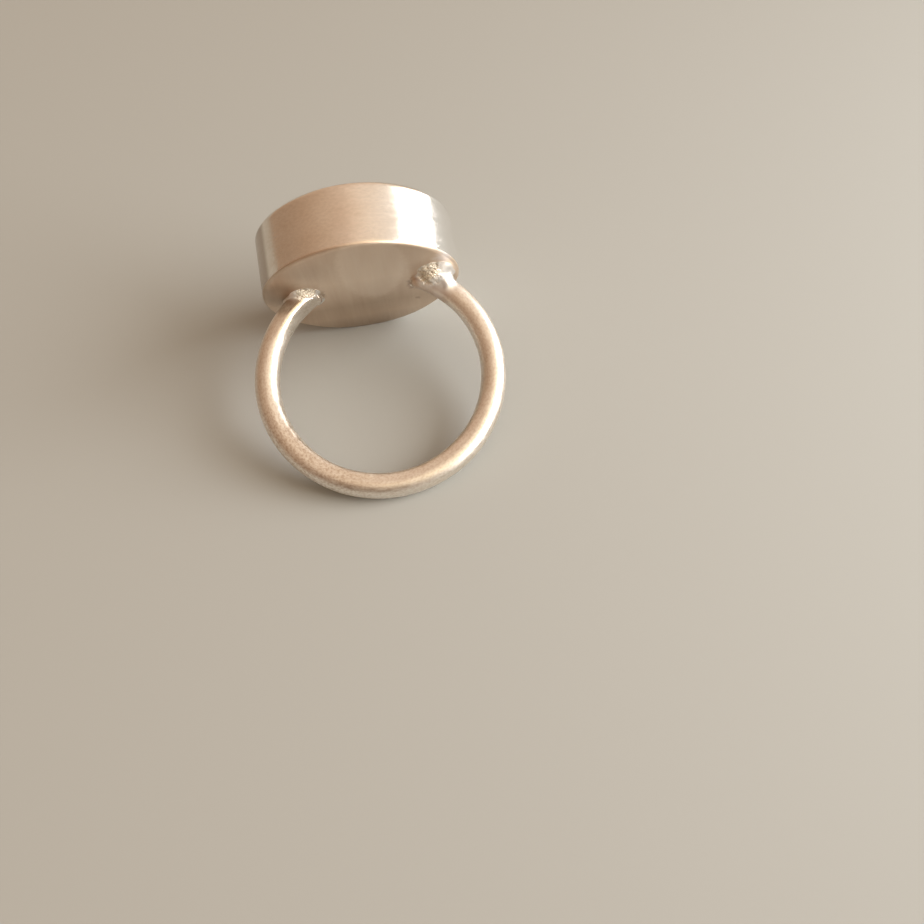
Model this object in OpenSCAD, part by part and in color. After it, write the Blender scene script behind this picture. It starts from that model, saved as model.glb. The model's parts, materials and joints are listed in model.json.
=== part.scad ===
// Sea glass ring. A round wire shank is soldered to the closed back of a deep round
// bezel, and the bezel's lip is burnished over a domed piece of frosted sea glass.
// It lies on its side as it would by itself: on the lower edge of the back plate and
// on the foot of the shank, with the setting towards +Y and the shank's foot towards -Y.
// The modules first build it flat: the hoop in the XY plane, the setting on +Y.

/* [Shank] */
// Inside diameter of the finger hole
finger_d = 17; // [15:0.1:21]
// Thickness of the round wire
wire_d = 2.1; // [1.6:0.1:2.6]
// Gap between the two ends of the wire, along the back plate
wire_gap = 7.7; // [6:0.1:9]

/* [Bezel] */
// Outside diameter of the round bezel
bezel_d = 16.9; // [14:0.1:18]
// Height of the bezel, with its back plate
bezel_h = 5.65; // [4:0.05:7]
// Thickness of the bezel's wall
wall_t = 0.5; // [0.4:0.05:0.8]
// Thickness of the back plate
plate_t = 0.7; // [0.5:0.05:1]
// How far the back plate cuts into the round of the finger hole
plate_inset = 0.5; // [0.2:0.1:1]
// How far the bezel was soldered to the left of the shank's middle
bezel_shift = 0.35; // [0:0.05:0.6]
// Width of the filed edge where the wall meets the back plate
filed_edge = 0.15; // [0.05:0.05:0.3]
// Height of the lip that is burnished over the glass
lip_h = 0.6; // [0.4:0.1:1.2]
// How far the lip leans inwards
lip_lean = 0.35; // [0.2:0.05:0.6]

/* [Sea glass] */
// How far the glass domes above the lip
dome_h = 1.4; // [0.6:0.1:1.8]
// Gap between the glass and the metal
glass_gap = 0.1; // [0.05:0.01:0.15]

/* [Solder] */
// Diameter of the solder that fills the narrow side of each joint
fillet_d = 2.6; // [2:0.1:3]
// Diameter of the solder that ran up over the end of the wire
bead_d = 2; // [1.6:0.1:2.4]

/* [Wear] */
// How deep the metal is worn flat at the two places that it lies on
worn_flat = 0.03; // [0.02:0.01:0.05]

/* [Hidden] */
$fn = 96;

finger_r = finger_d / 2;
wire_r = wire_d / 2;
hoop_r = finger_r + wire_r;
bezel_r = bezel_d / 2;

// The back plate faces the finger, and the lip's top edge is the far end
back_y = finger_r - plate_inset;
lip_y = back_y + bezel_h;
lip_r = bezel_r - lip_lean;

// The middle of the wire meets the plate's face here, and the wire ends inside the plate
wire_foot_x = sqrt(hoop_r ^ 2 - back_y ^ 2);
wire_end_y = back_y + plate_t / 2;

// The glass fills the cup up to the gap, and its dome is part of a ball
glass_r = bezel_r - wall_t - glass_gap;
glass_lip_r = lip_r - wall_t - glass_gap;
glass_base_y = back_y + plate_t + glass_gap;
dome_ball_r = (glass_lip_r ^ 2 + dome_h ^ 2) / (2 * dome_h);

// Lying down, the floor touches the plate's lower corner and the round foot of the shank,
// which are both worn flat there
corner_y = back_y + filed_edge;
lean = atan(bezel_r / (hoop_r + corner_y));
lie_angle = lean - asin(wire_r / norm([hoop_r + corner_y, bezel_r]));
foot_drop = hoop_r * sin(lie_angle) + wire_r - worn_flat;
foot_reach = hoop_r * cos(lie_angle) + wire_r;
lip_reach = lip_y * cos(lie_angle) + lip_r * sin(lie_angle);

// Lays the flat ring down on its side, with the middle of its outline at the origin
module laid_down() {
    translate([0, (foot_reach - lip_reach) / 2, foot_drop])
        rotate([lie_angle, 0, 0])
            children();
}

// Turns a flat profile of radius and distance from the hoop's centre about the bezel's axis
module about_bezel_axis() {
    translate([-bezel_shift, 0, 0])
        rotate([-90, 0, 0])
            rotate_extrude()
                children();
}

// Round wire, bent into a hoop, with its ends cut off square at the gap
module wire_hoop() {
    difference() {
        rotate_extrude()
            translate([hoop_r, 0])
                circle(wire_r);
        translate([0, hoop_r, 0])
            cube([wire_gap, hoop_r, 2 * wire_d], center = true);
    }
}

// Closed back plate and wall in one cup, with the lip leaning over the glass
module bezel_cup() {
    about_bezel_axis()
        polygon([
            [0, back_y],
            [bezel_r - filed_edge, back_y],
            [bezel_r, corner_y],
            [bezel_r, lip_y - lip_h],
            [lip_r, lip_y],
            [lip_r - wall_t, lip_y],
            [bezel_r - wall_t, lip_y - lip_h],
            [bezel_r - wall_t, back_y + plate_t],
            [0, back_y + plate_t]
        ]);
}

// Solder where one end of the wire meets the plate: a fillet in the narrow side of the
// joint, and a bead that ran up over the end of the wire
module solder(side) {
    translate([side * (wire_foot_x + wire_r), wire_end_y, 0])
        sphere(d = fillet_d);
    translate([side * wire_foot_x, wire_end_y, wire_r / 2])
        sphere(d = bead_d);
}

// The hoop with its solder, cut off flat where it has sunk into the back plate
module shank() {
    difference() {
        union() {
            wire_hoop();
            for (side = [-1, 1])
                solder(side);
        }
        translate([0, wire_end_y + hoop_r, 0])
            cube(2 * hoop_r, center = true);
    }
}

// The shank soldered to the cup, with whatever would be below the floor worn away
module silver_mount() {
    color("silver")
        intersection() {
            laid_down() {
                shank();
                bezel_cup();
            }
            translate([0, 0, 2 * hoop_r])
                cube(4 * hoop_r, center = true);
        }
}

// Disc of sea glass that fills the cup and narrows under the lip, then domes above it
module sea_glass() {
    color("paleturquoise")
        laid_down()
            about_bezel_axis() {
                polygon([
                    [0, glass_base_y],
                    [glass_r, glass_base_y],
                    [glass_r, lip_y - lip_h],
                    [glass_lip_r, lip_y],
                    [0, lip_y]
                ]);
                intersection() {
                    translate([0, lip_y + dome_h - dome_ball_r])
                        circle(dome_ball_r);
                    translate([0, lip_y])
                        square([glass_r, dome_h]);
                }
            }
}

silver_mount();
sea_glass();
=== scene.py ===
# %% [markdown]
# # A sea glass ring
# A jeweller makes this ring from very few things: a length of round silver wire, a strip
# and a disc of silver sheet, some solder, and a piece of glass that the sea has frosted.
# The wire is bent into a hoop. The strip becomes a round wall, the disc is its closed
# back, and the lip of the wall is pushed over the glass to hold it.
# The exact model already says how big everything is and how the ring lies on its side.
# Here each piece is modelled again with the marks that hands and tools leave on it.

# %% Load the exact model
import json
import math

import bmesh
import bpy
from mathutils import Matrix, Vector

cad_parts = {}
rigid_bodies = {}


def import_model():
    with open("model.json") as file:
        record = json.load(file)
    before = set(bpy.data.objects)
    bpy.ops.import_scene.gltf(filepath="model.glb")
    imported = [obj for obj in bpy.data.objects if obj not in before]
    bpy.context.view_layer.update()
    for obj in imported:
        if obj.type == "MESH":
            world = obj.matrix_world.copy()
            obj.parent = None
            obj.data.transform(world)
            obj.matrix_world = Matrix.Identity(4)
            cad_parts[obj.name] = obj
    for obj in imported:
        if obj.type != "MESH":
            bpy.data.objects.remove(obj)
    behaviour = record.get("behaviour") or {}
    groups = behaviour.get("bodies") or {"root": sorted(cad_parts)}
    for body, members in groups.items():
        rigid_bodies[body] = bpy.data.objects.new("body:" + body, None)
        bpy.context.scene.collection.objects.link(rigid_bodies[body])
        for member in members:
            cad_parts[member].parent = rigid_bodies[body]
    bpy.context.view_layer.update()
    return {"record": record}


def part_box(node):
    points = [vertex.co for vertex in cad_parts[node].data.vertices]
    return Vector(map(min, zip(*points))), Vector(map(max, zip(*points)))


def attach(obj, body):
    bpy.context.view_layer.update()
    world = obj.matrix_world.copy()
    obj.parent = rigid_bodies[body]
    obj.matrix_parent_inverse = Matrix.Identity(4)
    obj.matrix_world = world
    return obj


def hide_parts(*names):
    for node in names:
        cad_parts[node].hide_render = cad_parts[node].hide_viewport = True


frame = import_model()

# %% [markdown]
# ## A flat bench
# A ring that lies askew is awkward to model: no edge is level and no face is upright.
# So the bench is flat and one unit long means one millimetre. The hoop lies in the XY
# plane with its centre at the origin, the setting is on +Y, and +Z looks out of the
# finger hole. When a piece is finished, it is shrunk to metres and laid down like the
# exact ring. Where that is comes from the record's mount at the middle of the finger hole.

# %% Sizes, in millimetres on the flat bench
MM = 0.001
finger_hole = frame["record"]["mounts"][0]
hoop_centre = Vector(finger_hole["pos_m"])
lie_angle = math.atan2(-finger_hole["axis"][1], finger_hole["axis"][2])

wire_radius = 1.05
hoop_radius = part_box("silver_mount")[1].x / MM - wire_radius
plate_inset = 0.5
back_y = hoop_radius - wire_radius - plate_inset
plate_thick = 0.7
bezel_height = 5.65
lip_y = back_y + bezel_height
lip_height = 0.4
lip_lean = 0.3
wall_thick = 0.5
wall_radius = 8.5
bezel_x = -0.35
print(f"lies at {math.degrees(lie_angle):.2f} degrees, hoop radius {hoop_radius:.2f} mm")

# %% [markdown]
# Operators act on whatever is selected, in the mode that happens to be on. These helpers
# make that certain: one leaves edit mode and deselects everything, one takes a piece in
# hand, one names a new primitive, one opens a piece for editing, and two select its faces
# or its points by where they are.

# %% Helpers for the bench
def deselect_all():
    if bpy.context.object and bpy.context.object.mode != "OBJECT":
        bpy.ops.object.mode_set(mode="OBJECT")
    bpy.ops.object.select_all(action="DESELECT")


def take(piece):
    deselect_all()
    piece.select_set(True)
    bpy.context.view_layer.objects.active = piece


def name_piece(name):
    piece = bpy.context.object
    piece.name = piece.data.name = name
    take(piece)
    bpy.ops.object.transform_apply(location=True, rotation=True, scale=True)
    return piece


def open_piece(piece, select_by="FACE"):
    take(piece)
    bpy.ops.object.mode_set(mode="EDIT")
    bpy.ops.mesh.select_mode(type=select_by)
    bpy.ops.mesh.select_all(action="DESELECT")


def pick_faces(piece, test):
    mesh = bmesh.from_edit_mesh(piece.data)
    for face in mesh.faces:
        face.select_set(test(face.calc_center_median(), face.normal))
    bmesh.update_edit_mesh(piece.data)


def pick_points(piece, test):
    mesh = bmesh.from_edit_mesh(piece.data)
    for point in mesh.verts:
        point.select = test(point.co)
    mesh.select_flush_mode()
    bmesh.update_edit_mesh(piece.data)


# %% [markdown]
# ## The shank
# The real shank is a straight wire that was bent round a mandrel. Spin does the same
# here: a round end face is swept round the hoop's centre, from one tip to the other.
# Spin may leave an end open and the skin inside out, so any hole is filled and the faces
# are pointed outwards.

# %% Bend the wire
tip_angle = math.radians(63.4)
wire_sides = 56
hoop_steps = 240

bpy.ops.mesh.primitive_circle_add(
    vertices=wire_sides,
    radius=wire_radius,
    fill_type="NGON",
    location=(hoop_radius * math.cos(tip_angle), hoop_radius * math.sin(tip_angle), 0),
    rotation=(math.radians(90), 0, tip_angle),
)
shank = name_piece("shank")
open_piece(shank)
bpy.ops.mesh.select_all(action="SELECT")
bpy.ops.mesh.spin(
    steps=hoop_steps, angle=2 * tip_angle + math.pi, center=(0, 0, 0), axis=(0, 0, 1)
)
bpy.ops.mesh.select_all(action="SELECT")
bpy.ops.mesh.fill_holes(sides=0)
bpy.ops.mesh.normals_make_consistent(inside=False)
deselect_all()
print("bent wire:", len(shank.data.polygons), "faces")

# %% [markdown]
# The tips were nipped square, so their thin inner ends stop a little short of where
# a full tongue would run out on the plate, and filing has rounded them. The two end
# faces are the only ones with their middle on the wire's centre line. Their outlines
# are bevelled.

# %% Round the two tips
tip_round = 0.25


def is_tip(middle, normal):
    return abs(middle.xy.length - hoop_radius) < 0.1 and abs(middle.z) < 0.1


open_piece(shank)
pick_faces(shank, is_tip)
bpy.ops.mesh.region_to_loop()
bpy.ops.mesh.bevel(offset=tip_round, segments=4, affect="EDGES")
deselect_all()
print("with rounded tips:", len(shank.data.polygons), "faces")

# %% [markdown]
# Wire that was hammered round a mandrel and filed isn't evenly round. The foot has two
# soft ridges with flatter metal between them, and the file took a slanted flat off the
# left tip. A texture couldn't bend the highlights like that, so the shape changes: lines
# of points along the wire are pushed in or out, and proportional editing lets the metal
# beside them follow.

# %% File and hammer marks along the wire
# Each row is where the middle of a line is on the hoop, counted from +X, and how far the
# line reaches either way. Next comes its side of the wire, where 0 is outwards and 90 is
# up. These are degrees. The last two are millimetres: the push out, and how far it carries
wire_marks = [
    (-96, 75, 135, 0.05, 0.6),
    (-96, 60, 135, 0.04, 0.6),
    (-96, 45, 135, 0.04, 0.6),
    (-96, 75, 225, 0.05, 0.6),
    (-96, 60, 225, 0.04, 0.6),
    (-96, 45, 225, 0.04, 0.6),
    (-126, 22, 128, 0.05, 0.45),
    (117, 42, 152, -0.04, 0.85),
    (117, 30, 152, -0.06, 0.85),
    (117, 18, 152, -0.06, 0.85),
    (117, 34, 108, 0.04, 0.45),
]
line_width = 3.3  # degrees either way, just enough to catch a row of the wire's points
skin_least = 0.9  # the points inside the rounded tips are nearer to the wire's middle


def push_wire(heading, reach, side, push, follow):
    middle = Vector((math.cos(math.radians(heading)), math.sin(math.radians(heading))))

    def on_line(point):
        out = point.xy.length - hoop_radius
        around = math.degrees(math.atan2(point.z, out)) % 360
        return (
            math.hypot(out, point.z) > skin_least
            and abs(around - side) < line_width
            and point.xy.angle(middle) < math.radians(reach)
        )

    pick_points(shank, on_line)
    bpy.ops.transform.shrink_fatten(
        value=push,
        use_proportional_edit=True,
        proportional_edit_falloff="SMOOTH",
        proportional_size=follow,
    )


open_piece(shank, "VERT")
for heading, reach, side, push, follow in wire_marks:
    push_wire(heading, reach, side, push, follow)
deselect_all()
print("wire:", len(wire_marks), "lines pushed")

# %% [markdown]
# A slow cloud takes the last evenness out of the hoop. Every modifier here is applied as
# soon as it is added, because the next tool needs the mesh that it leaves.

# %% Make the hoop a little uneven
bend_size = 2.5
bend_depth = 0.05


def add_modifier(piece, kind, **settings):
    take(piece)
    modifier = piece.modifiers.new(kind.title(), kind)
    for setting, value in settings.items():
        setattr(modifier, setting, value)
    bpy.ops.object.modifier_apply(modifier=modifier.name)


def cloud(name, size):
    texture = bpy.data.textures.new(name, "CLOUDS")
    texture.noise_basis = "IMPROVED_PERLIN"
    texture.noise_scale = size
    return texture


add_modifier(
    shank,
    "DISPLACE",
    texture=cloud("bends", bend_size),
    texture_coords="LOCAL",
    strength=bend_depth,
)
print("marked wire:", len(shank.data.polygons), "faces")

# %% [markdown]
# ## The solder
# Solder flows into a joint and freezes as it stands, so it looks like a small puddle that
# climbs the wire and thins out to nothing on the plate. Each puddle starts as a few
# flattened balls that overlap. They are joined to the wire and to a slab that stands in
# for the plate. Remeshing the lot gives one skin, as melting does, and smoothing turns
# every crease of a joint into a fillet.

# %% Puddles of solder
# Each row is the middle of a ball and its three radii, in millimetres
left_puddle = [
    ((-5.35, 8.15, 1.20), (1.00, 0.42, 0.75)),
    ((-4.60, 8.10, 1.10), (0.55, 0.26, 0.32)),
    ((-5.10, 8.20, -0.95), (1.20, 0.45, 0.50)),
    ((-4.50, 8.05, -1.45), (0.20, 0.24, 0.20)),
]
right_puddle = [
    ((6.05, 8.15, 1.75), (1.30, 0.65, 1.10)),
    ((6.10, 7.85, 1.15), (1.15, 0.85, 1.05)),
    ((6.75, 7.35, 0.60), (0.85, 1.00, 0.95)),
    ((5.30, 8.20, -0.95), (1.30, 0.45, 0.50)),
]
puddles = left_puddle + right_puddle
slab_wide = 17
slab_high = 9
slab_middle_z = 0.5
skin_voxel = 0.071

for middle, radii in puddles:
    bpy.ops.mesh.primitive_ico_sphere_add(
        subdivisions=4, radius=1, location=middle, scale=radii
    )
    name_piece("solder")
bpy.ops.mesh.primitive_cube_add(
    size=1,
    location=(0, back_y + plate_thick / 2, slab_middle_z),
    scale=(slab_wide, plate_thick, slab_high),
)
name_piece("solder_slab")
deselect_all()
for piece in bpy.data.objects:
    if piece.name.startswith("solder"):
        piece.select_set(True)
shank.select_set(True)
bpy.context.view_layer.objects.active = shank
bpy.ops.object.join()
add_modifier(shank, "REMESH", mode="VOXEL", voxel_size=skin_voxel)
print("wire, solder and slab:", len(shank.data.polygons), "faces")

# %% [markdown]
# The two joints froze differently. The left one has a strip of crinkled crust across the
# end of the wire, and the metal on both sides of it is scorched. The right one is crusty
# on its inner side and smooth outside, and scorched where it runs out on the plate. By its
# tip's inner end the scorch is at its strongest, and there it also paints the shade where
# the tip meets the plate. Two attributes keep this on the mesh, from 0 to 1: one for the
# crust and one for the scorch with its painted shade. Both depend on the reach, which is
# 1 a tenth of a millimetre above the nearest ball's skin.

# %% Find the crust, the scorched metal and the painted shade
skin_margin = 0.1


def solder_reach(point):
    reaches = []
    for middle, radii in puddles:
        off = [(point[i] - middle[i]) / (radii[i] + skin_margin) for i in range(3)]
        reaches.append(math.hypot(*off))
    return min(reaches)


def fade(value, start, end):
    return max(0.0, min(1.0, (value - start) / (end - start)))


reaches = [solder_reach(point.co) for point in shank.data.vertices]
crinkled = []
scorch_and_shade = []
for reach, point in zip(reaches, shank.data.vertices):
    x, y = point.co.xy
    if x < 0:
        crust = fade(x, -6.4, -5.6) * fade(x, -4.0, -4.4)
        scorched_and_shaded = 0.5 * (1.0 - crust)
    else:
        crust = fade(x, 6.9, 6.1) * fade(y, 6.7, 7.3)
        # By the right tip's inner end the scorch is full, and it paints the shade that falls
        # there
        scorched_and_shaded = max(fade(x, 5.0, 4.2), 0.6 * fade(y, 7.7, 7.1) * fade(x, 6.9, 6.4))
    crinkled.append(fade(reach, 1.5, 0.8) * crust)
    scorch_and_shade.append(fade(reach, 2.4, 1.4) * scorched_and_shaded)
for name, values in (("crinkled", crinkled), ("scorch_and_shade", scorch_and_shade)):
    shank.data.attributes.new(name, "FLOAT", "POINT").data.foreach_set("value", values)
    print(f"{name}: {sum(value > 0.5 for value in values)} points over a half")

# %% [markdown]
# How much a point belongs to the solder is kept as a vertex group, because the smoothing
# needs one, and the material reads it later by its name. A little smoothing takes the
# remesh's steps off the whole wire, and a lot more melts the solder into fillets.

# %% Melt the joints smooth
solder_group = shank.vertex_groups.new(name="solder")
solder_points = 0
for index, reach in enumerate(reaches):
    amount = fade(reach, 1.6, 1.0)
    if amount > 0:
        solder_group.add([index], amount, "REPLACE")
        solder_points += 1
add_modifier(shank, "SMOOTH", factor=0.5, iterations=8)
add_modifier(shank, "SMOOTH", factor=0.5, iterations=90, vertex_group="solder")
print("joints:", solder_points, "points of solder")

# %% [markdown]
# The crust is raised by a fine cloud, but only where it stands clear of the plate, so
# that nothing breaks through there. The wrinkles on it are finer still, and the material
# gives them.

# %% Raise the crust
crust_size = 0.4
crust_height = 0.07

raised = shank.vertex_groups.new(name="raised")
raised_points = 0
for point in shank.data.vertices:
    above_plate = back_y - point.co.y
    amount = crinkled[point.index] * fade(above_plate, 0.02, 0.12)
    if amount > 0:
        raised.add([point.index], amount, "REPLACE")
        raised_points += 1
add_modifier(
    shank,
    "DISPLACE",
    texture=cloud("crinkles", crust_size),
    texture_coords="LOCAL",
    strength=crust_height,
    vertex_group="raised",
)
print("crust:", raised_points, "points raised")

# %% [markdown]
# The slab has done its work, so it is cut away a hair above the plate, and the cut face
# is pushed into the plate so that no gap can show. The floor is cut off in the same way.
# On this flat bench it is a slanted plane, and metal that would be below it is worn away,
# which leaves the tiny flat that the foot rests on.

# %% Cut the slab and the worn flat away
cut_y = back_y - 0.012
sunk_depth = 0.35


def wear_flat(piece):
    turn = Matrix.Rotation(-lie_angle, 3, "X")
    open_piece(piece)
    bpy.ops.mesh.select_all(action="SELECT")
    bpy.ops.mesh.bisect(
        plane_co=turn @ (-hoop_centre / MM),
        plane_no=turn @ Vector((0, 0, 1)),
        use_fill=True,
        clear_inner=True,
    )
    deselect_all()


open_piece(shank)
bpy.ops.mesh.select_all(action="SELECT")
bpy.ops.mesh.bisect(
    plane_co=(0, cut_y, 0), plane_no=(0, 1, 0), use_fill=True, clear_outer=True
)
pick_faces(shank, lambda middle, normal: normal.y > 0.99 and middle.y > cut_y - 0.001)
bpy.ops.mesh.extrude_region_move(TRANSFORM_OT_translate={"value": (0, sunk_depth, 0)})
wear_flat(shank)
print("shank:", len(shank.data.polygons), "faces")

# %% [markdown]
# ## The bezel
# A strip of sheet is bent round and soldered to a disc, so the bezel is a cup with an
# even wall. Here it starts as a plain drum. The far end is drawn in for the lip, inset
# by the wall's thickness, and pushed back down inside to the plate.

# %% Raise the wall and turn the lip in
straight_height = bezel_height - lip_height
inside_radius = wall_radius - wall_thick

bpy.ops.mesh.primitive_cylinder_add(
    vertices=256,
    radius=wall_radius,
    depth=straight_height,
    location=(bezel_x, back_y + straight_height / 2, 0),
    rotation=(math.radians(-90), 0, 0),
)
bezel = name_piece("bezel")


def extrude_and_scale(rise, factor):
    bpy.ops.mesh.extrude_region_move(TRANSFORM_OT_translate={"value": (0, rise, 0)})
    bpy.ops.transform.resize(value=(factor, 1, factor))


open_piece(bezel)
pick_faces(bezel, lambda middle, normal: normal.y > 0.9)
extrude_and_scale(lip_height, 1 - lip_lean / wall_radius)
bpy.ops.mesh.inset(thickness=wall_thick)
extrude_and_scale(-lip_height, inside_radius / (inside_radius - lip_lean))
extrude_and_scale(plate_thick - straight_height, 1)
deselect_all()
print("cup:", len(bezel.data.polygons), "faces")

# %% [markdown]
# A file takes the sharp corner off where the wall meets the plate, and the burnisher
# rounds the lip. Both are bevels, on loops that are found by their height and their
# distance from the bezel's axis.

# %% File the corner and round the lip
filed_edge = 0.28
lip_round = 0.16
lip_middle = wall_radius - lip_lean - wall_thick / 2
beyond = 9  # farther from the axis than any point of the bezel


def from_axis(point):
    return math.hypot(point.x - bezel_x, point.z)


def bevel_loop(piece, height, least, most, offset):
    bpy.ops.mesh.select_mode(type="VERT")
    pick_points(
        piece,
        lambda point: abs(point.y - height) < 0.01 and least < from_axis(point) < most,
    )
    bpy.ops.mesh.bevel(offset=offset, segments=4, affect="EDGES")


open_piece(bezel)
bevel_loop(bezel, back_y, wall_radius - 0.1, beyond, filed_edge)
bevel_loop(bezel, lip_y, lip_middle, beyond, lip_round)
bevel_loop(bezel, lip_y, 0, lip_middle, lip_round)
deselect_all()
print("filed cup:", len(bezel.data.polygons), "faces")

# %% [markdown]
# The dents that come next need points to bend. Bisect cuts the straight wall into rows,
# and insets cut the plate into rings.

# %% Add rows and rings
row_height = 0.3
ring_width = 0.4

open_piece(bezel)
height = back_y + 2 * filed_edge
while height < lip_y - lip_round:
    bpy.ops.mesh.select_all(action="SELECT")
    bpy.ops.mesh.bisect(plane_co=(0, height, 0), plane_no=(0, 1, 0))
    height += row_height
pick_faces(bezel, lambda middle, normal: normal.y < -0.99 and from_axis(middle) < 0.1)
for ring in range(20):
    bpy.ops.mesh.inset(thickness=ring_width)
deselect_all()
print("bezel:", len(bezel.data.polygons), "faces")

# %% [markdown]
# The wall isn't truly round. Seen along its axis it is flatter in three places, where
# fingers pressed it in when it was trued up. Proportional editing is the tool for that:
# a line of points is pushed in, and everything near it follows. The glass takes the same
# presses later, so it keeps its fit.

# %% Press the wall out of round
# Each row is an angle in degrees, from +X towards +Z, and how far the wall is pushed in
presses = [(50, 0.12), (-150, 0.30), (-38, 0.30)]
press_reach = 5.9
dent_size = 3.5
dent_depth = 0.05


def press_in(piece):
    open_piece(piece, "VERT")
    for degrees, depth in presses:
        way = Vector((math.cos(math.radians(degrees)), 0, math.sin(math.radians(degrees))))

        def on_line(point):
            out = Vector((point.x - bezel_x, 0, point.z))
            return out.length > 6 and out.angle(way) < math.radians(1)

        pick_points(piece, on_line)
        bpy.ops.transform.translate(
            value=-depth * way,
            use_proportional_edit=True,
            proportional_edit_falloff="SMOOTH",
            proportional_size=press_reach,
        )
    deselect_all()


press_in(bezel)
add_modifier(
    bezel,
    "DISPLACE",
    texture=cloud("dents", dent_size),
    texture_coords="LOCAL",
    strength=dent_depth,
)
wear_flat(bezel)
print("pressed bezel:", [round(side, 2) for side in bezel.dimensions], "mm")

# %% [markdown]
# ## The sea glass
# Years in the surf have ground this piece of glass round, and its skin is covered in
# tiny pits. Only the dome above the lip shows. It starts as a drum that fills the cup,
# and its far end is drawn in and lifted ring by ring along the arc of a ball.

# %% Dome the glass
glass_gap = 0.12
glass_radius = wall_radius - wall_thick - glass_gap
shoulder_radius = glass_radius - lip_lean
glass_base_y = back_y + plate_thick + glass_gap
glass_shoulder_y = lip_y - lip_height
dome_height = 1.4
dome_ball = (shoulder_radius**2 + dome_height**2) / (2 * dome_height)
rings = 40

bpy.ops.mesh.primitive_cylinder_add(
    vertices=192,
    radius=glass_radius,
    depth=glass_shoulder_y - glass_base_y,
    location=(bezel_x, (glass_base_y + glass_shoulder_y) / 2, 0),
    rotation=(math.radians(-90), 0, 0),
)
sea_glass = name_piece("sea_glass_stone")
open_piece(sea_glass)
pick_faces(sea_glass, lambda middle, normal: normal.y > 0.9)
extrude_and_scale(lip_height, shoulder_radius / glass_radius)
radius = shoulder_radius
rise = 0.0
for ring in range(1, rings):
    next_radius = shoulder_radius * math.cos(math.radians(90 * ring / rings))
    next_rise = math.sqrt(dome_ball**2 - next_radius**2) - (dome_ball - dome_height)
    extrude_and_scale(next_rise - rise, next_radius / radius)
    radius = next_radius
    rise = next_rise
deselect_all()
print(f"dome: {rise:.2f} mm high, on a ball of {dome_ball:.1f} mm")

# %% [markdown]
# The sea leaves no sharp edge and no true curve. The hidden base is rounded with a bevel,
# the glass is pressed out of round with its wall, and a slow cloud tumbles the surface.

# %% Tumble the glass
base_round = 0.3
tumble_size = 3.0
tumble_depth = 0.1

open_piece(sea_glass)
bevel_loop(sea_glass, glass_base_y, glass_radius - 0.1, beyond, base_round)
press_in(sea_glass)
add_modifier(
    sea_glass,
    "DISPLACE",
    texture=cloud("tumbled", tumble_size),
    texture_coords="LOCAL",
    strength=tumble_depth,
)
print("sea glass:", len(sea_glass.data.polygons), "faces")

# %% [markdown]
# ## Off the bench
# Each piece is shrunk to metres, turned and moved to where the exact ring lies, and this
# is applied to its mesh, so its object stays at the origin. Faces that meet at a gentle
# angle are shaded smooth. The two metal pieces stand for the exact silver mount, because
# it is one soldered piece, and the glass stands for the exact glass.

# %% Lay the pieces down
smooth_under = math.radians(40)


def lay_down(piece):
    take(piece)
    piece.scale = (MM, MM, MM)
    piece.rotation_euler = (lie_angle, 0, 0)
    piece.location = hoop_centre
    bpy.ops.object.transform_apply(location=True, rotation=True, scale=True)
    bpy.ops.object.shade_smooth_by_angle(angle=smooth_under)
    lowest = min(point.co.z for point in piece.data.vertices) / MM
    print(f"{piece.name}: {len(piece.data.polygons)} faces, lowest at {lowest:.3f} mm")


for piece in (shank, bezel, sea_glass):
    lay_down(piece)
    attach(piece, "root")
for piece in (shank, bezel):
    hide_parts("silver_mount")
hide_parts("sea_glass")

# %% [markdown]
# ## Finishes
# Every material here is a procedure: it works its marks out from where a point is on the
# ring. Colours are written as a screen shows them and turned to linear light by one
# function, and one more adds a node with its settings and links. A material starts with
# a Mapping node that undoes the laying down, so its patterns are in bench millimetres.

# %% Helpers for materials
def paint(code):
    channels = [int(code[i : i + 2], 16) / 255 for i in (1, 3, 5)]
    return (
        *[c / 12.92 if c <= 0.04045 else ((c + 0.055) / 1.055) ** 2.4 for c in channels],
        1,
    )


def add_node(tree, kind, inputs, **settings):
    node = tree.nodes.new("ShaderNode" + kind)
    for setting, value in settings.items():
        setattr(node, setting, value)
    for socket, value in inputs.items():
        if isinstance(value, bpy.types.NodeSocket):
            tree.links.new(value, node.inputs[socket])
        else:
            node.inputs[socket].default_value = value
    return node


def start_material(name):
    material = bpy.data.materials.new(name)
    material.use_nodes = True
    tree = material.node_tree
    shader = tree.nodes["Principled BSDF"]
    place = add_node(tree, "TexCoord", {})
    bench = add_node(
        tree,
        "Mapping",
        {
            "Vector": place.outputs["Object"],
            "Location": hoop_centre,
            "Rotation": (lie_angle, 0, 0),
            "Scale": (MM, MM, MM),
        },
        vector_type="TEXTURE",
    )
    return material, tree, shader, bench.outputs["Vector"]


# %% [markdown]
# Sterling silver is a nearly white metal with a little warmth, and all three silver
# finishes start alike. One pattern, the tone, varies the colour as handling does. The
# other is the height of the scratches: high metal is rubbed smoother than low metal, and
# a bump lets every scratch catch the light.

# %% What all the silver shares
silver_light = paint("#FBF7F1")
silver_dull = paint("#EDE4D8")
low = 0.35  # nearly all of a noise lies between low and high
high = 0.65


def finish_silver(tree, shader, tone, height, depth, roughest, smoothest):
    metal = add_node(
        tree, "Mix", {"Factor": tone, "A": silver_dull, "B": silver_light}, data_type="RGBA"
    )
    rough = add_node(
        tree,
        "MapRange",
        {
            "Value": height,
            "From Min": low,
            "From Max": high,
            "To Min": roughest,
            "To Max": smoothest,
        },
    )
    bump = add_node(tree, "Bump", {"Height": height, "Distance": depth * MM})
    tree.links.new(metal.outputs["Result"], shader.inputs["Base Color"])
    tree.links.new(rough.outputs["Result"], shader.inputs["Roughness"])
    tree.links.new(bump.outputs["Normal"], shader.inputs["Normal"])
    shader.inputs["Metallic"].default_value = 1.0
    return metal.outputs["Result"], rough.outputs["Result"], bump.outputs["Normal"]


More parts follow.
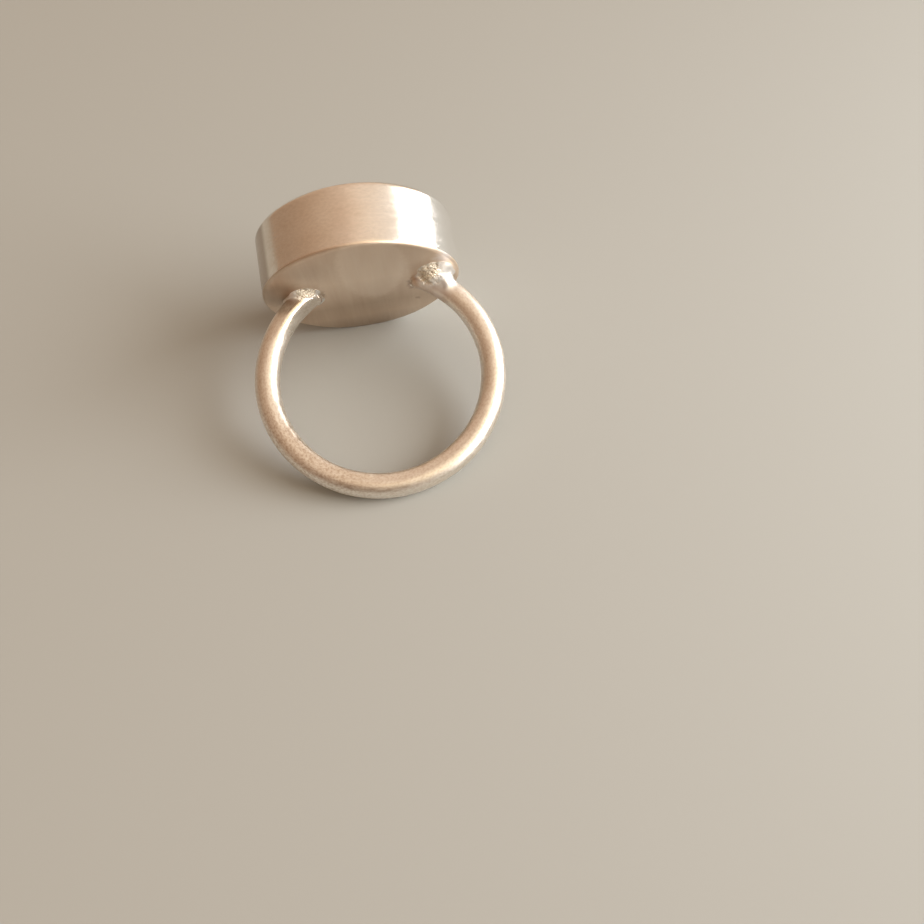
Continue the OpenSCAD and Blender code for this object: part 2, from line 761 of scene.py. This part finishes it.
# %% [markdown]
# The wall was finished with fine abrasive drawn round it, which leaves long scratches
# that follow the wall. They spread the light up and down the wall and leave it crisper
# around it. Over them lies the short grain of a satin wheel, which softens the edge of
# each highlight. Both are noise in one height, stretched round the bezel and packed
# close along it. Real scratches are finer. These are as fine as the picture can show.

# %% Brushed sterling silver, for the wall
scratch_length = 2.0
scratch_spacing = 0.2
grains_per_mm = (3, 5, 3)
tones_per_mm = (0.35, 0.5, 0.35)
grain_share = 0.6

wall_silver, tree, shader, place = start_material("brushed_sterling_silver")
drawn = add_node(
    tree,
    "VectorMath",
    {0: place, 1: (1 / scratch_length, 1 / scratch_spacing, 1 / scratch_length)},
    operation="MULTIPLY",
).outputs["Vector"]
scratches = add_node(tree, "TexNoise", {"Vector": drawn, "Scale": 1.0, "Detail": 3.0})
packed = add_node(tree, "VectorMath", {0: place, 1: grains_per_mm}, operation="MULTIPLY")
grain = add_node(
    tree, "TexNoise", {"Vector": packed.outputs["Vector"], "Scale": 1.0, "Detail": 4.0}
).outputs["Fac"]
slow = add_node(tree, "VectorMath", {0: place, 1: tones_per_mm}, operation="MULTIPLY")
tone = add_node(
    tree, "TexNoise", {"Vector": slow.outputs["Vector"], "Scale": 1.0, "Detail": 2.0}
).outputs["Fac"]
height = add_node(
    tree,
    "Math",
    {0: grain, 1: grain_share, 2: scratches.outputs["Fac"]},
    operation="MULTIPLY_ADD",
)
height = add_node(
    tree,
    "Math",
    {0: height.outputs["Value"], 1: 1 / (1 + grain_share)},
    operation="MULTIPLY",
).outputs["Value"]
metal, rough, bump = finish_silver(tree, shader, tone, height, 0.003, 0.26, 0.14)
print(wall_silver.name, "has", len(tree.nodes), "nodes")

# %% [markdown]
# Three things change the wall's colour. Dust and skin grease sit in the low grain and
# make it mottled. The far left is darkened brown-grey, which is painted shade: the dark
# reflection of shadowed ground beside the ring. The right end is painted whiter and
# cooler, which is a painted reflection of the bright floor on the window's side.

# %% Grime, painted shade and a painted reflection on the wall
painted_shade_starts = bezel_x - wall_radius + 1.5
painted_shade_full = bezel_x - wall_radius + 1.0
painted_reflection_starts = bezel_x + 5.8
painted_reflection_full = bezel_x + 6.8

parts = add_node(tree, "SeparateXYZ", {"Vector": place})
mottled = add_node(
    tree,
    "MapRange",
    {"Value": grain, "From Min": 0.32, "From Max": 0.66, "To Min": 0.12, "To Max": 0.0},
)
# Painted shade: the wall's far left is darkened, as shadowed ground beside it darkens its
# reflection
painted_shade_left = add_node(
    tree,
    "MapRange",
    {
        "Value": parts.outputs["X"],
        "From Min": painted_shade_starts,
        "From Max": painted_shade_full,
        "To Max": 0.9,
    },
    interpolation_type="SMOOTHSTEP",
)
# Painted reflection: the wall's right end is whitened, as the bright floor on the window's side
# would show in it
painted_reflection_right = add_node(
    tree,
    "MapRange",
    {"Value": parts.outputs["X"], "From Min": painted_reflection_starts, "From Max": painted_reflection_full},
    interpolation_type="SMOOTHSTEP",
)
colour = metal
for amount, code in ((mottled, "#A08A6C"), (painted_shade_left, "#B0A090"), (painted_reflection_right, "#FFFFFF")):
    colour = add_node(
        tree,
        "Mix",
        {"Factor": amount.outputs["Result"], "A": colour, "B": paint(code)},
        data_type="RGBA",
    ).outputs["Result"]
tree.links.new(colour, shader.inputs["Base Color"])
print(wall_silver.name, "has", len(tree.nodes), "nodes with its colours")

# %% [markdown]
# The plate was rubbed on a flat sheet of abrasive, so its scratches are straight. They
# run across the finger hole, from the bench side up. Handling has dulled it, so it is
# rougher than the wall.

# %% Rubbed sterling silver, for the plate
scratch_length = 4.0
scratch_spacing = 0.25
tones_per_mm = (0.9, 1.0, 0.15)

plate_silver, tree, shader, place = start_material("rubbed_sterling_silver")
rubbed = add_node(
    tree,
    "VectorMath",
    {0: place, 1: (1 / scratch_spacing, 1.0, 1 / scratch_length)},
    operation="MULTIPLY",
).outputs["Vector"]
scratches = add_node(tree, "TexNoise", {"Vector": rubbed, "Scale": 1.0, "Detail": 2.0})
slow = add_node(tree, "VectorMath", {0: place, 1: tones_per_mm}, operation="MULTIPLY")
tone = add_node(
    tree, "TexNoise", {"Vector": slow.outputs["Vector"], "Scale": 1.0, "Detail": 2.0}
).outputs["Fac"]
finish_silver(tree, shader, tone, scratches.outputs["Fac"], 0.004, 0.50, 0.40)
print(plate_silver.name, "has", len(tree.nodes), "nodes")

# %% [markdown]
# Silver gets a thin brown film in the air. Over it lies a ramp from the lower edge to the
# upper edge: painted shade at the lower edge, for the shadow under the ring that the plate
# mirrors, and a painted reflection a little above the middle, where it is palest.

# %% A brown film on the plate, with painted shade and a painted reflection
plate_reach = 8.0
# Each row is a height, from 0 at the lower edge to 1 at the upper, and the painted shade there
film_and_painted_shade = [
    (0.0, "#CFC8C2"),
    (0.15, "#E6E0DA"),
    (0.30, "#DCD5CE"),
    (0.42, "#EDE9E6"),
    (0.62, "#FFFFFF"),
    (1.0, "#E8E2DE"),
]

film = add_node(
    tree,
    "Mix",
    {"Factor": tone, "A": paint("#E6D2BF"), "B": paint("#FAEDDD")},
    data_type="RGBA",
)
parts = add_node(tree, "SeparateXYZ", {"Vector": place})
up = add_node(
    tree,
    "MapRange",
    {"Value": parts.outputs["Z"], "From Min": -plate_reach, "From Max": plate_reach},
)
# The ramp paints shade low on the plate and a pale reflection a little above the middle
ramp = add_node(tree, "ValToRGB", {"Fac": up.outputs["Result"]})
stops = ramp.color_ramp.elements
while len(stops) < len(film_and_painted_shade):
    stops.new(0.5)
for stop, (share, code) in zip(stops, film_and_painted_shade):
    stop.position = share
    stop.color = paint(code)
film_with_painted_shade = add_node(
    tree,
    "VectorMath",
    {0: film.outputs["Result"], 1: ramp.outputs["Color"]},
    operation="MULTIPLY",
).outputs["Vector"]
print(plate_silver.name, "has", len(film_and_painted_shade), "shades of film")

# %% [markdown]
# Heat and flux left brown stains round both joints. By the two wire tips the dark ones
# also paint the shade where the tip meets the plate. Two pale ones are painted
# reflections, a large one in the middle and a white one by the right edge. Each one is
# a soft ellipse, and a noise that shifts the pattern's place makes its outline wander.
# A noise is 0.5 on average, so the ellipses are moved by half of the shift to stay put.

# %% Stains, painted shade and painted reflections on the plate
# Each row is the middle of a patch and half of its width and height, in millimetres, then
# the share of it that has its full strength, that strength and its colour
stains_and_painted_light = [
    # Painted reflection: the large pale patch in the middle
    (0.8, 4.2, 3.1, 6.9, 0.8, 0.35, "#FFF2E4"),
    # Heat stain with painted shade, by the right tip
    (4.1, -0.4, 0.7, 1.6, 0.2, 0.6, "#80503A"),
    (-6.95, 0.1, 0.4, 0.8, 0.2, 0.7, "#6E5842"),
    (4.32, -3.74, 0.3, 0.45, 0.2, 0.45, "#8A6448"),
    # Heat stain with painted shade, by the left tip
    (-3.75, 0.1, 0.3, 1.2, 0.2, 0.4, "#7A5C44"),
    (-7.4, 1.6, 2.8, 3.2, 0.3, 0.6, "#988878"),
    (-5.6, 4.8, 4.4, 3.6, 0.0, 0.28, "#8A7464"),
    (-5.4, 1.2, 2.2, 2.4, 0.3, 0.4, "#A8866A"),
    (5.2, 2.0, 2.2, 2.6, 0.2, 0.35, "#B48E72"),
    # Painted reflection: the white by the right edge
    (6.9, 3.8, 1.3, 1.3, 0.2, 0.6, "#FAF8FC"),
]
wander = 0.9

wobble = add_node(tree, "TexNoise", {"Vector": place, "Scale": 2.0, "Detail": 3.0})
shifted = add_node(
    tree,
    "VectorMath",
    {0: wobble.outputs["Color"], 1: (wander, 0.0, wander), 2: place},
    operation="MULTIPLY_ADD",
).outputs["Vector"]
colour = film_with_painted_shade
for x, z, half_wide, half_high, core, strength, code in stains_and_painted_light:
    shrink = (1 / half_wide, 0.0, 1 / half_high)
    middle = (-(x + wander / 2) * shrink[0], 0.0, -(z + wander / 2) * shrink[2])
    off = add_node(
        tree, "VectorMath", {0: shifted, 1: shrink, 2: middle}, operation="MULTIPLY_ADD"
    )
    off = add_node(tree, "VectorMath", {0: off.outputs["Vector"]}, operation="LENGTH")
    patch_amount = add_node(
        tree,
        "MapRange",
        {"Value": off.outputs["Value"], "From Min": 1.0, "From Max": core, "To Max": strength},
        interpolation_type="SMOOTHSTEP",
    )
    colour = add_node(
        tree,
        "Mix",
        {"Factor": patch_amount.outputs["Result"], "A": colour, "B": paint(code)},
        data_type="RGBA",
    ).outputs["Result"]
tree.links.new(colour, shader.inputs["Base Color"])
print(plate_silver.name, "has", len(stains_and_painted_light), "stains_and_painted_light")

# %% [markdown]
# The wire has a satin skin from a fibre wheel, with fine scratches that follow its bend.
# So their pattern is laid in other coordinates: the distance from the hoop's axis, the
# angle round the hoop, and the height. A radian of angle is 9.5 mm of wire, so 10 of
# them to a radian are about a millimetre long.

# %% Satin silver, for the wire
streaks_per_step = (7, 10, 7)  # to a millimetre, a radian and a millimetre

wire_silver, tree, shader, place = start_material("satin_silver_wire")
flat = add_node(tree, "VectorMath", {0: place, 1: (1, 1, 0)}, operation="MULTIPLY")
reach = add_node(tree, "VectorMath", {0: flat.outputs["Vector"]}, operation="LENGTH")
parts = add_node(tree, "SeparateXYZ", {"Vector": place})
along = add_node(
    tree,
    "Math",
    {0: parts.outputs["X"], 1: parts.outputs["Y"]},
    operation="ARCTAN2",
)
around = add_node(
    tree,
    "CombineXYZ",
    {"X": reach.outputs["Value"], "Y": along.outputs["Value"], "Z": parts.outputs["Z"]},
).outputs["Vector"]
drawn = add_node(
    tree, "VectorMath", {0: around, 1: streaks_per_step}, operation="MULTIPLY"
).outputs["Vector"]
streaks = add_node(tree, "TexNoise", {"Vector": drawn, "Scale": 1.0, "Detail": 3.0})
tone = add_node(tree, "TexNoise", {"Vector": place, "Scale": 0.4, "Detail": 2.0})
metal, rough, bump = finish_silver(
    tree, shader, tone.outputs["Fac"], streaks.outputs["Fac"], 0.006, 0.50, 0.30
)
print(wire_silver.name, "has", len(tree.nodes), "nodes")

# %% [markdown]
# The wheel leaves tiny pits that hold polish and grime, so the satin looks grainy and
# golden. They are a fine noise, cut to its low parts. The foot's left side, which rubs
# on the hand and on tables, has more of them, so their strength falls with distance
# from there.

# %% Pits and grime on the wire
pits_per_step = (7, 40, 7)
worn_place = (-7.5, -6.0, 0.5)

fine = add_node(tree, "VectorMath", {0: around, 1: pits_per_step}, operation="MULTIPLY")
pits = add_node(
    tree, "TexNoise", {"Vector": fine.outputs["Vector"], "Scale": 1.0, "Detail": 4.0}
)
pitted = add_node(
    tree,
    "MapRange",
    {
        "Value": pits.outputs["Fac"],
        "From Min": 0.36,
        "From Max": 0.58,
        "To Min": 1.0,
        "To Max": 0.0,
    },
)
away = add_node(tree, "VectorMath", {0: place, 1: worn_place}, operation="DISTANCE")
worn = add_node(
    tree,
    "MapRange",
    {
        "Value": away.outputs["Value"],
        "From Min": 3.0,
        "From Max": 7.0,
        "To Min": 0.45,
        "To Max": 0.24,
    },
)
grime = add_node(
    tree,
    "Math",
    {0: pitted.outputs["Result"], 1: worn.outputs["Result"]},
    operation="MULTIPLY",
)
metal = add_node(
    tree,
    "Mix",
    {"Factor": grime.outputs["Value"], "A": metal, "B": paint("#A98A68")},
    data_type="RGBA",
).outputs["Result"]
print(wire_silver.name, "has", len(tree.nodes), "nodes with its pits")

# %% [markdown]
# At its ends the wire turns into solder, and the amounts kept on its mesh say where.
# The crust is full of sharp small wrinkles that all lean one way. A saw-tooth wave gives
# that: it climbs slowly and drops at once, and a strong distortion breaks its rows up.
# A noise eats into the crust's outline, so it ends ragged.

# %% Wrinkles in the crust
wrinkle_lean = math.radians(26)

solder = add_node(tree, "Attribute", {}, attribute_name="solder").outputs["Fac"]
crust = add_node(tree, "Attribute", {}, attribute_name="crinkled").outputs["Fac"]
scorched_and_shaded = add_node(tree, "Attribute", {}, attribute_name="scorch_and_shade").outputs["Fac"]
leaning = add_node(
    tree,
    "Mapping",
    {"Vector": place, "Rotation": (0, wrinkle_lean, 0)},
    vector_type="TEXTURE",
)
wrinkles = add_node(
    tree,
    "TexWave",
    {
        "Vector": leaning.outputs["Vector"],
        "Scale": 1.0,
        "Distortion": 15.0,
        "Detail": 3.0,
        "Detail Scale": 1.5,
        "Detail Roughness": 0.6,
    },
    wave_profile="SAW",
).outputs["Fac"]
ragged = add_node(tree, "TexNoise", {"Vector": place, "Scale": 3.0, "Detail": 3.0})
eaten = add_node(
    tree,
    "MapRange",
    {
        "Value": ragged.outputs["Fac"],
        "From Min": low,
        "From Max": high,
        "To Min": -0.7,
        "To Max": 0.3,
    },
)
edge = add_node(
    tree, "Math", {0: crust, 1: 1.8, 2: eaten.outputs["Result"]}, operation="MULTIPLY_ADD"
)
crinkled = add_node(
    tree, "Math", {0: edge.outputs["Value"], 1: crust}, operation="MULTIPLY", use_clamp=True
).outputs["Value"]
print(wire_silver.name, "has", len(tree.nodes), "nodes with its crust")

# %% [markdown]
# The colours go on in the order in which the joint got them. Heat scorches the metal
# light brown, and by the right tip's inner end that brown also paints the shade there,
# solder covers it in white, crust takes on a warm cream, and flux burns brown into the
# creases between the wrinkles.

# %% Colours of the joints
creases = add_node(
    tree,
    "MapRange",
    {"Value": wrinkles, "From Min": 0.1, "From Max": 0.4, "To Min": 0.62, "To Max": 0.0},
)
flux = add_node(
    tree, "Math", {0: creases.outputs["Result"], 1: crinkled}, operation="MULTIPLY"
).outputs["Value"]
colour = metal
# The light brown is scorch, and by the right tip it is painted shade as well
for amount, code in (
    (scorched_and_shaded, "#BC9878"),
    (solder, "#FFFFFF"),
    (crinkled, "#FFF2DC"),
    (flux, "#A0744A"),
):
    colour = add_node(
        tree, "Mix", {"Factor": amount, "A": colour, "B": paint(code)}, data_type="RGBA"
    ).outputs["Result"]
tree.links.new(colour, shader.inputs["Base Color"])
bare_metal = add_node(tree, "MapRange", {"Value": crinkled, "To Min": 1.0, "To Max": 0.25})
tree.links.new(bare_metal.outputs["Result"], shader.inputs["Metallic"])
print(wire_silver.name, "has", len(tree.nodes), "nodes with its colours")

# %% [markdown]
# The crust glitters, scorched metal is dull, and the inner side of the left tip, where
# the file went over it last, is the smoothest metal on the wire. Its polish fades with
# distance from the tip, and it stays on the side that faces the finger. The wrinkles
# are too small for the mesh, so a bump gives them their relief.

# %% Gloss and relief of the joints
filed_place = (-5.2, 7.6, 0.9)
wrinkle_depth = 0.22

away = add_node(tree, "VectorMath", {0: place, 1: filed_place}, operation="DISTANCE")
near_tip = add_node(
    tree,
    "MapRange",
    {"Value": away.outputs["Value"], "From Min": 5.0, "From Max": 1.5},
    interpolation_type="SMOOTHSTEP",
)
inner_side = add_node(
    tree,
    "MapRange",
    {
        "Value": reach.outputs["Value"],
        "From Min": hoop_radius + 0.25,
        "From Max": hoop_radius - 0.2,
    },
)
filed = add_node(
    tree,
    "Math",
    {0: near_tip.outputs["Result"], 1: inner_side.outputs["Result"]},
    operation="MULTIPLY",
).outputs["Value"]
for amount, roughness in ((crinkled, 0.25), (filed, 0.16), (scorched_and_shaded, 0.45)):
    rough = add_node(
        tree, "Mix", {"Factor": amount, "A": rough, "B": roughness}
    ).outputs["Result"]
tree.links.new(rough, shader.inputs["Roughness"])
lift = add_node(tree, "Math", {0: wrinkles, 1: crinkled}, operation="MULTIPLY")
relief = add_node(
    tree,
    "Bump",
    {"Height": lift.outputs["Value"], "Distance": wrinkle_depth * MM, "Normal": bump},
    invert=True,
)
tree.links.new(relief.outputs["Normal"], shader.inputs["Normal"])
print(wire_silver.name, "has", len(tree.nodes), "nodes in all")

# %% [markdown]
# The glass is clear inside, but its skin is a crust of tiny pits, so light goes in
# and comes out in every direction and the colour looks soft and milky. A little
# transmission lets the depth through, and subsurface light makes the milk.

# %% Frosted sea glass
pits_per_mm = 5
pit_depth = 0.03

sea_frost, tree, shader, place = start_material("frosted_sea_glass")
pits = add_node(tree, "TexNoise", {"Vector": place, "Scale": pits_per_mm, "Detail": 4.0})
tone = add_node(tree, "TexNoise", {"Vector": place, "Scale": 0.3, "Detail": 2.0})
colour = add_node(
    tree,
    "Mix",
    {"Factor": tone.outputs["Fac"], "A": paint("#A6D8CB"), "B": paint("#CFEDE3")},
    data_type="RGBA",
)
bump = add_node(tree, "Bump", {"Height": pits.outputs["Fac"], "Distance": pit_depth * MM})
tree.links.new(colour.outputs["Result"], shader.inputs["Base Color"])
tree.links.new(bump.outputs["Normal"], shader.inputs["Normal"])
shader.inputs["Roughness"].default_value = 0.5
shader.inputs["IOR"].default_value = 1.5
shader.inputs["Transmission Weight"].default_value = 0.3
shader.inputs["Subsurface Weight"].default_value = 0.5
shader.inputs["Subsurface Radius"].default_value = (1.0, 1.6, 1.5)
shader.inputs["Subsurface Scale"].default_value = 1.0 * MM
print(sea_frost.name, "has", len(tree.nodes), "nodes")

# %% [markdown]
# The bezel has two finishes. Whatever faces out of the plate takes the rubbed silver,
# with the filed edge round it, because the maker's last strokes went over both. Even the
# steepest faces of that edge lean 11 degrees towards the plate, and a dent in the wall
# leans less, so one limit tells them apart.

# %% Give each piece its finish
least_lean = 0.1
bezel.data.materials.append(wall_silver)
bezel.data.materials.append(plate_silver)
plate_out = Matrix.Rotation(lie_angle, 3, "X") @ Vector((0, -1, 0))
rubbed_faces = 0
for face in bezel.data.polygons:
    if face.normal.dot(plate_out) > least_lean:
        face.material_index = 1
        rubbed_faces += 1
shank.data.materials.append(wire_silver)
sea_glass.data.materials.append(sea_frost)
print("rubbed faces on the bezel:", rubbed_faces)

# %% [markdown]
# ## The stage
# The ring lies on a plain pale floor, wide enough to reach behind it from every side.
# The floor has no gloss, so it stays an even tone when it is seen at a slant.

# %% Floor
bpy.ops.mesh.primitive_plane_add(size=1.6)
floor = name_piece("floor")
floor_finish, _, shader, _ = start_material("pale_floor")
shader.inputs["Base Color"].default_value = paint("#A3A29D")
shader.inputs["Roughness"].default_value = 0.9
shader.inputs["Specular IOR Level"].default_value = 0.0
floor.data.materials.append(floor_finish)
print("floor:", [round(side, 2) for side in floor.dimensions], "m")

# %% [markdown]
# Polished metal shows what is around it, so the most important light is one to look at:
# a bright panel like a window, on the right, whose picture makes the long highlights on
# the wall and the wire. It lights nothing else, because it stands so close that it would
# burn out the floor beneath it. Headings are degrees from +Y towards +X, and the
# panel's edges are given by the angles at which the ring sees them.

# %% A window for the metal to show
window_heading = math.radians(105)
window_away = 0.35
window_top = window_away * math.tan(math.radians(40))
window_foot = 0.004
window_left = window_away * math.tan(math.radians(53))
window_right = window_away * math.tan(math.radians(35))
window_radiance = 3.8
window_colour = (1.0, 0.98, 0.95)

turn = Matrix.Rotation(-window_heading, 3, "Z")
middle = Vector(((window_right - window_left) / 2, window_away, (window_top + window_foot) / 2))
bpy.ops.object.light_add(
    type="AREA",
    location=turn @ middle,
    rotation=(math.radians(90), 0, math.pi - window_heading),
)
window = bpy.context.object
window.name = "window"
window.data.shape = "RECTANGLE"
window.data.size = window_left + window_right
window.data.size_y = window_top - window_foot
window.data.energy = window_radiance * math.pi * window.data.size * window.data.size_y
window.data.color = window_colour
window.visible_camera = False
window.visible_diffuse = False
print(f"window: {window.data.size:.2f} by {window.data.size_y:.2f} m")

# %% [markdown]
# Two soft lights do the rest, and the metal shows neither. The daylight comes from the
# window's side and is even all over the floor, with a wide angle so that shadows are
# soft. The fill is a small cool panel on the same side, close to the ring, and the floor
# gets a little darker away from it.

# %% Daylight and fill for everything else
daylight_tilt = math.radians(65)
fill_tilt = math.radians(66)
fill_at = Vector((0, 0.16, 0.07))

bpy.ops.object.light_add(
    type="SUN",
    location=turn @ middle,
    rotation=(daylight_tilt, 0, math.pi - window_heading),
)
daylight = bpy.context.object
daylight.name = "daylight"
daylight.data.angle = math.radians(50)
daylight.data.energy = 2.5
daylight.data.color = window_colour
daylight.visible_glossy = False

bpy.ops.object.light_add(
    type="AREA",
    location=turn @ fill_at,
    rotation=(fill_tilt, 0, math.pi - window_heading),
)
fill = bpy.context.object
fill.name = "soft_fill"
fill.data.size = 0.14
fill.data.energy = 0.36
fill.data.color = (0.88, 0.95, 1.0)
fill.visible_glossy = False
fill.visible_camera = False
print("soft lights:", daylight.name, fill.name)

# %% [markdown]
# Away from the window the metal shows the room, so the room's colours decide how silver
# looks. It is warm and dim on the far side, and palest towards the window.

# %% A warm room
# Each row is how far towards the window one looks, from 0 to 1, and the light from there
room = [
    (0.00, (0.33, 0.22, 0.145)),
    (0.15, (0.44, 0.29, 0.19)),
    (0.30, (0.56, 0.39, 0.27)),
    (0.45, (0.66, 0.47, 0.34)),
    (0.55, (0.80, 0.60, 0.45)),
    (0.70, (0.88, 0.71, 0.57)),
    (1.00, (1.00, 0.90, 0.80)),
]
brightest = (0.996, -0.087, 0.0)

world = bpy.data.worlds.new("warm_room")
bpy.context.scene.world = world
world.use_nodes = True
tree = world.node_tree
way = add_node(tree, "TexCoord", {}).outputs["Generated"]
facing = add_node(tree, "VectorMath", {0: way, 1: brightest}, operation="DOT_PRODUCT")
side = add_node(
    tree,
    "MapRange",
    {"Value": facing.outputs["Value"], "From Min": -1.0, "From Max": 1.0},
)
ramp = add_node(tree, "ValToRGB", {"Fac": side.outputs["Result"]})
stops = ramp.color_ramp.elements
while len(stops) < len(room):
    stops.new(0.5)
for stop, (share, light) in zip(stops, room):
    stop.position = share
    stop.color = (*light, 1)
room_light = ramp.outputs["Color"]
print("room:", len(room), "shades")

# %% [markdown]
# Two patches break the room up, as furniture and lamps do: a low dark one across the
# room from the setting, and a high bright one on the window's side. The metal mirrors
# both, and their edges are soft.

# %% A dark patch and a bright one
# Each row is a patch's heading, height and reach in degrees, and the light from there
patches = [
    (-168, 8, 54, (0.20, 0.125, 0.08)),
    (140, 50, 34, (1.5, 1.25, 0.88)),
]

for heading, height, reach, light in patches:
    aim = Matrix.Rotation(-math.radians(heading), 3, "Z") @ Vector(
        (0, math.cos(math.radians(height)), math.sin(math.radians(height)))
    )
    facing = add_node(tree, "VectorMath", {0: way, 1: aim}, operation="DOT_PRODUCT")
    share = add_node(
        tree,
        "MapRange",
        {
            "Value": facing.outputs["Value"],
            "From Min": math.cos(math.radians(reach)),
            "From Max": math.cos(math.radians(reach / 3)),
        },
        interpolation_type="SMOOTHSTEP",
    )
    room_light = add_node(
        tree,
        "Mix",
        {"Factor": share.outputs["Result"], "A": room_light, "B": (*light, 1)},
        data_type="RGBA",
    ).outputs["Result"]
print("room:", len(patches), "patches")

# %% [markdown]
# Behind the floor the camera sees one plain pale tone instead of the room. The Standard
# view keeps that tone and all the others as they are written here.

# %% A plain backdrop
backdrop = (0.46, 0.42, 0.36)
seen = add_node(tree, "LightPath", {}).outputs["Is Camera Ray"]
shown = add_node(
    tree, "Mix", {"Factor": seen, "A": room_light, "B": (*backdrop, 1)}, data_type="RGBA"
)
tree.links.new(shown.outputs["Result"], tree.nodes["Background"].inputs["Color"])
bpy.context.scene.view_settings.view_transform = "Standard"
print("world:", len(tree.nodes), "nodes")

# %% [markdown]
# ## The camera
# The camera looks down on the ring from in front of the finger hole, very close, so the
# perspective is strong. Its place is given in millimetres from the ring's middle.

# %% Camera
camera_at = Vector((2.779, -61.493, 70.945)) * MM
camera_heading = math.radians(3.080)
camera_down = math.radians(53.909)
camera_roll = math.radians(-7.175)

bpy.ops.object.camera_add(location=camera_at)
camera = bpy.context.object
camera.rotation_euler = (
    Matrix.Rotation(-camera_heading, 3, "Z")
    @ Matrix.Rotation(math.radians(90) - camera_down, 3, "X")
    @ Matrix.Rotation(camera_roll, 3, "Z")
).to_euler()
camera.data.lens = 40.54
camera.data.sensor_width = 36
camera.data.clip_start = 0.001
bpy.context.scene.camera = camera
print(f"camera {camera_at.length / MM:.0f} mm from the ring")
